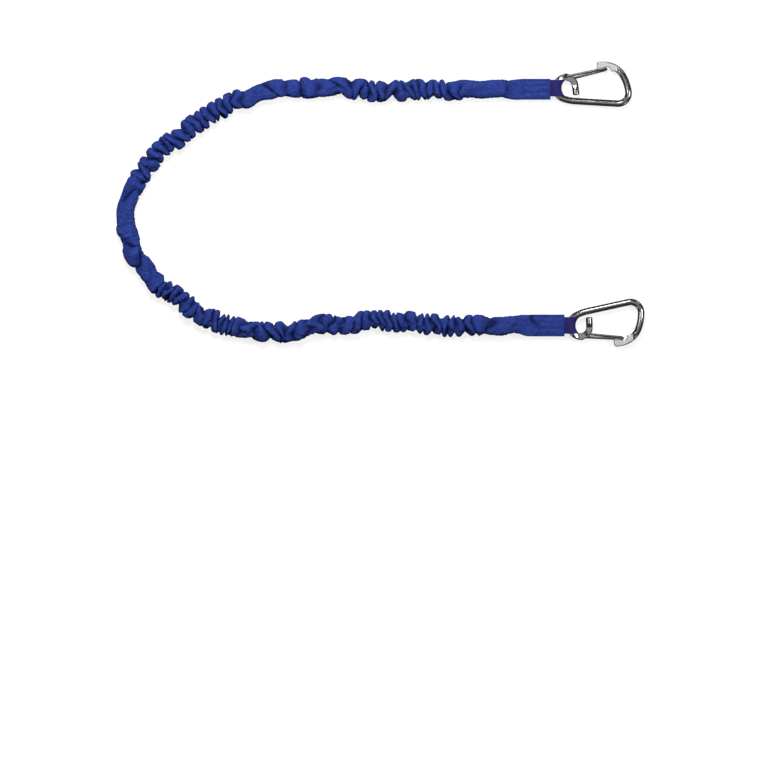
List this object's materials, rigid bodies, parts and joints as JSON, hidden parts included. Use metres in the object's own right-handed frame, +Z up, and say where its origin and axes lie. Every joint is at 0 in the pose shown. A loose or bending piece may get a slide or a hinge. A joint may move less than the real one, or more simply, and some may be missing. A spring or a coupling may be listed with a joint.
{
  "type": "shock absorbing lanyard",
  "caption": "Elastic tool lanyard: a gathered tubular webbing sleeve over an elastic core, with a captive-eye wire gate carabiner sewn on at each end.",
  "frame": {"origin": "on the surface the lanyard lies on, at the middle of the box round its two ends (flat sleeve ends, loops and carabiners)", "axes": "+Z up from the surface; +X from the sleeve to the carabiners; +Y from the tool end to the anchor end"},
  "size_m": [0.4752, 0.2567, 0.011],
  "materials": {
    "sleeve_webbing": "gathered royal blue tubular webbing, woven, slightly fuzzy",
    "core_elastic": "natural elastic cord",
    "loop_webbing": "navy woven webbing",
    "stitch_thread": "dark blue bonded thread",
    "polished_steel": "polished stainless steel",
    "spring_wire": "polished stainless spring wire"
  },
  "bodies": {
    "lanyard": {"sleeve_tube": "sleeve_webbing", "elastic_core": "core_elastic", "anchor_sleeve_end": "sleeve_webbing", "anchor_core_end": "core_elastic", "anchor_loop_tails": "loop_webbing", "anchor_box_stitch": "stitch_thread", "tool_sleeve_end": "sleeve_webbing", "tool_core_end": "core_elastic", "tool_loop_tails": "loop_webbing", "tool_box_stitch": "stitch_thread"},
    "anchor_loop": {"anchor_loop_eye": "loop_webbing"},
    "anchor_carabiner": {"anchor_carabiner_frame": "polished_steel"},
    "anchor_gate": {"anchor_wire_gate": "spring_wire"},
    "tool_loop": {"tool_loop_eye": "loop_webbing"},
    "tool_carabiner": {"tool_carabiner_frame": "polished_steel"},
    "tool_gate": {"tool_wire_gate": "spring_wire"}
  },
  "joints": [
    {"name": "anchor_loop_bend", "type": "hinge", "parent": "lanyard", "child": "anchor_loop", "pos_m": [-0.0223, 0.1043, 0.0042], "axis": [0, 1, 0], "range_deg": [-50, 0], "deforming": ["anchor_loop_eye"]},
    {"name": "anchor_carabiner_swing", "type": "hinge", "parent": "anchor_loop", "child": "anchor_carabiner", "pos_m": [-0.0076, 0.1043, 0.0042], "axis": [0, 0, 1], "range_deg": [-18, 18], "deforming": ["anchor_loop_eye"]},
    {"name": "anchor_gate_hinge", "type": "hinge", "parent": "anchor_carabiner", "child": "anchor_gate", "pos_m": [-0.0062, 0.11365, 0.0042], "axis": [0, 0, -1], "range_deg": [0, 28], "stiffness_Nm_per_rad": 0.05, "springref_deg": -20.05},
    {"name": "tool_loop_bend", "type": "hinge", "parent": "lanyard", "child": "tool_loop", "pos_m": [-0.0097, -0.1093, 0.0042], "axis": [0, 1, 0], "range_deg": [-50, 0], "deforming": ["tool_loop_eye"]},
    {"name": "tool_carabiner_swing", "type": "hinge", "parent": "tool_loop", "child": "tool_carabiner", "pos_m": [0.005, -0.1093, 0.0042], "axis": [0, 0, 1], "range_deg": [-27, 9], "deforming": ["tool_loop_eye"]},
    {"name": "tool_gate_hinge", "type": "hinge", "parent": "tool_carabiner", "child": "tool_gate", "pos_m": [0.00785, -0.11832, 0.0042], "axis": [0, 0, 1], "range_deg": [0, 28], "stiffness_Nm_per_rad": 0.05, "springref_deg": -20.05}
  ]
}
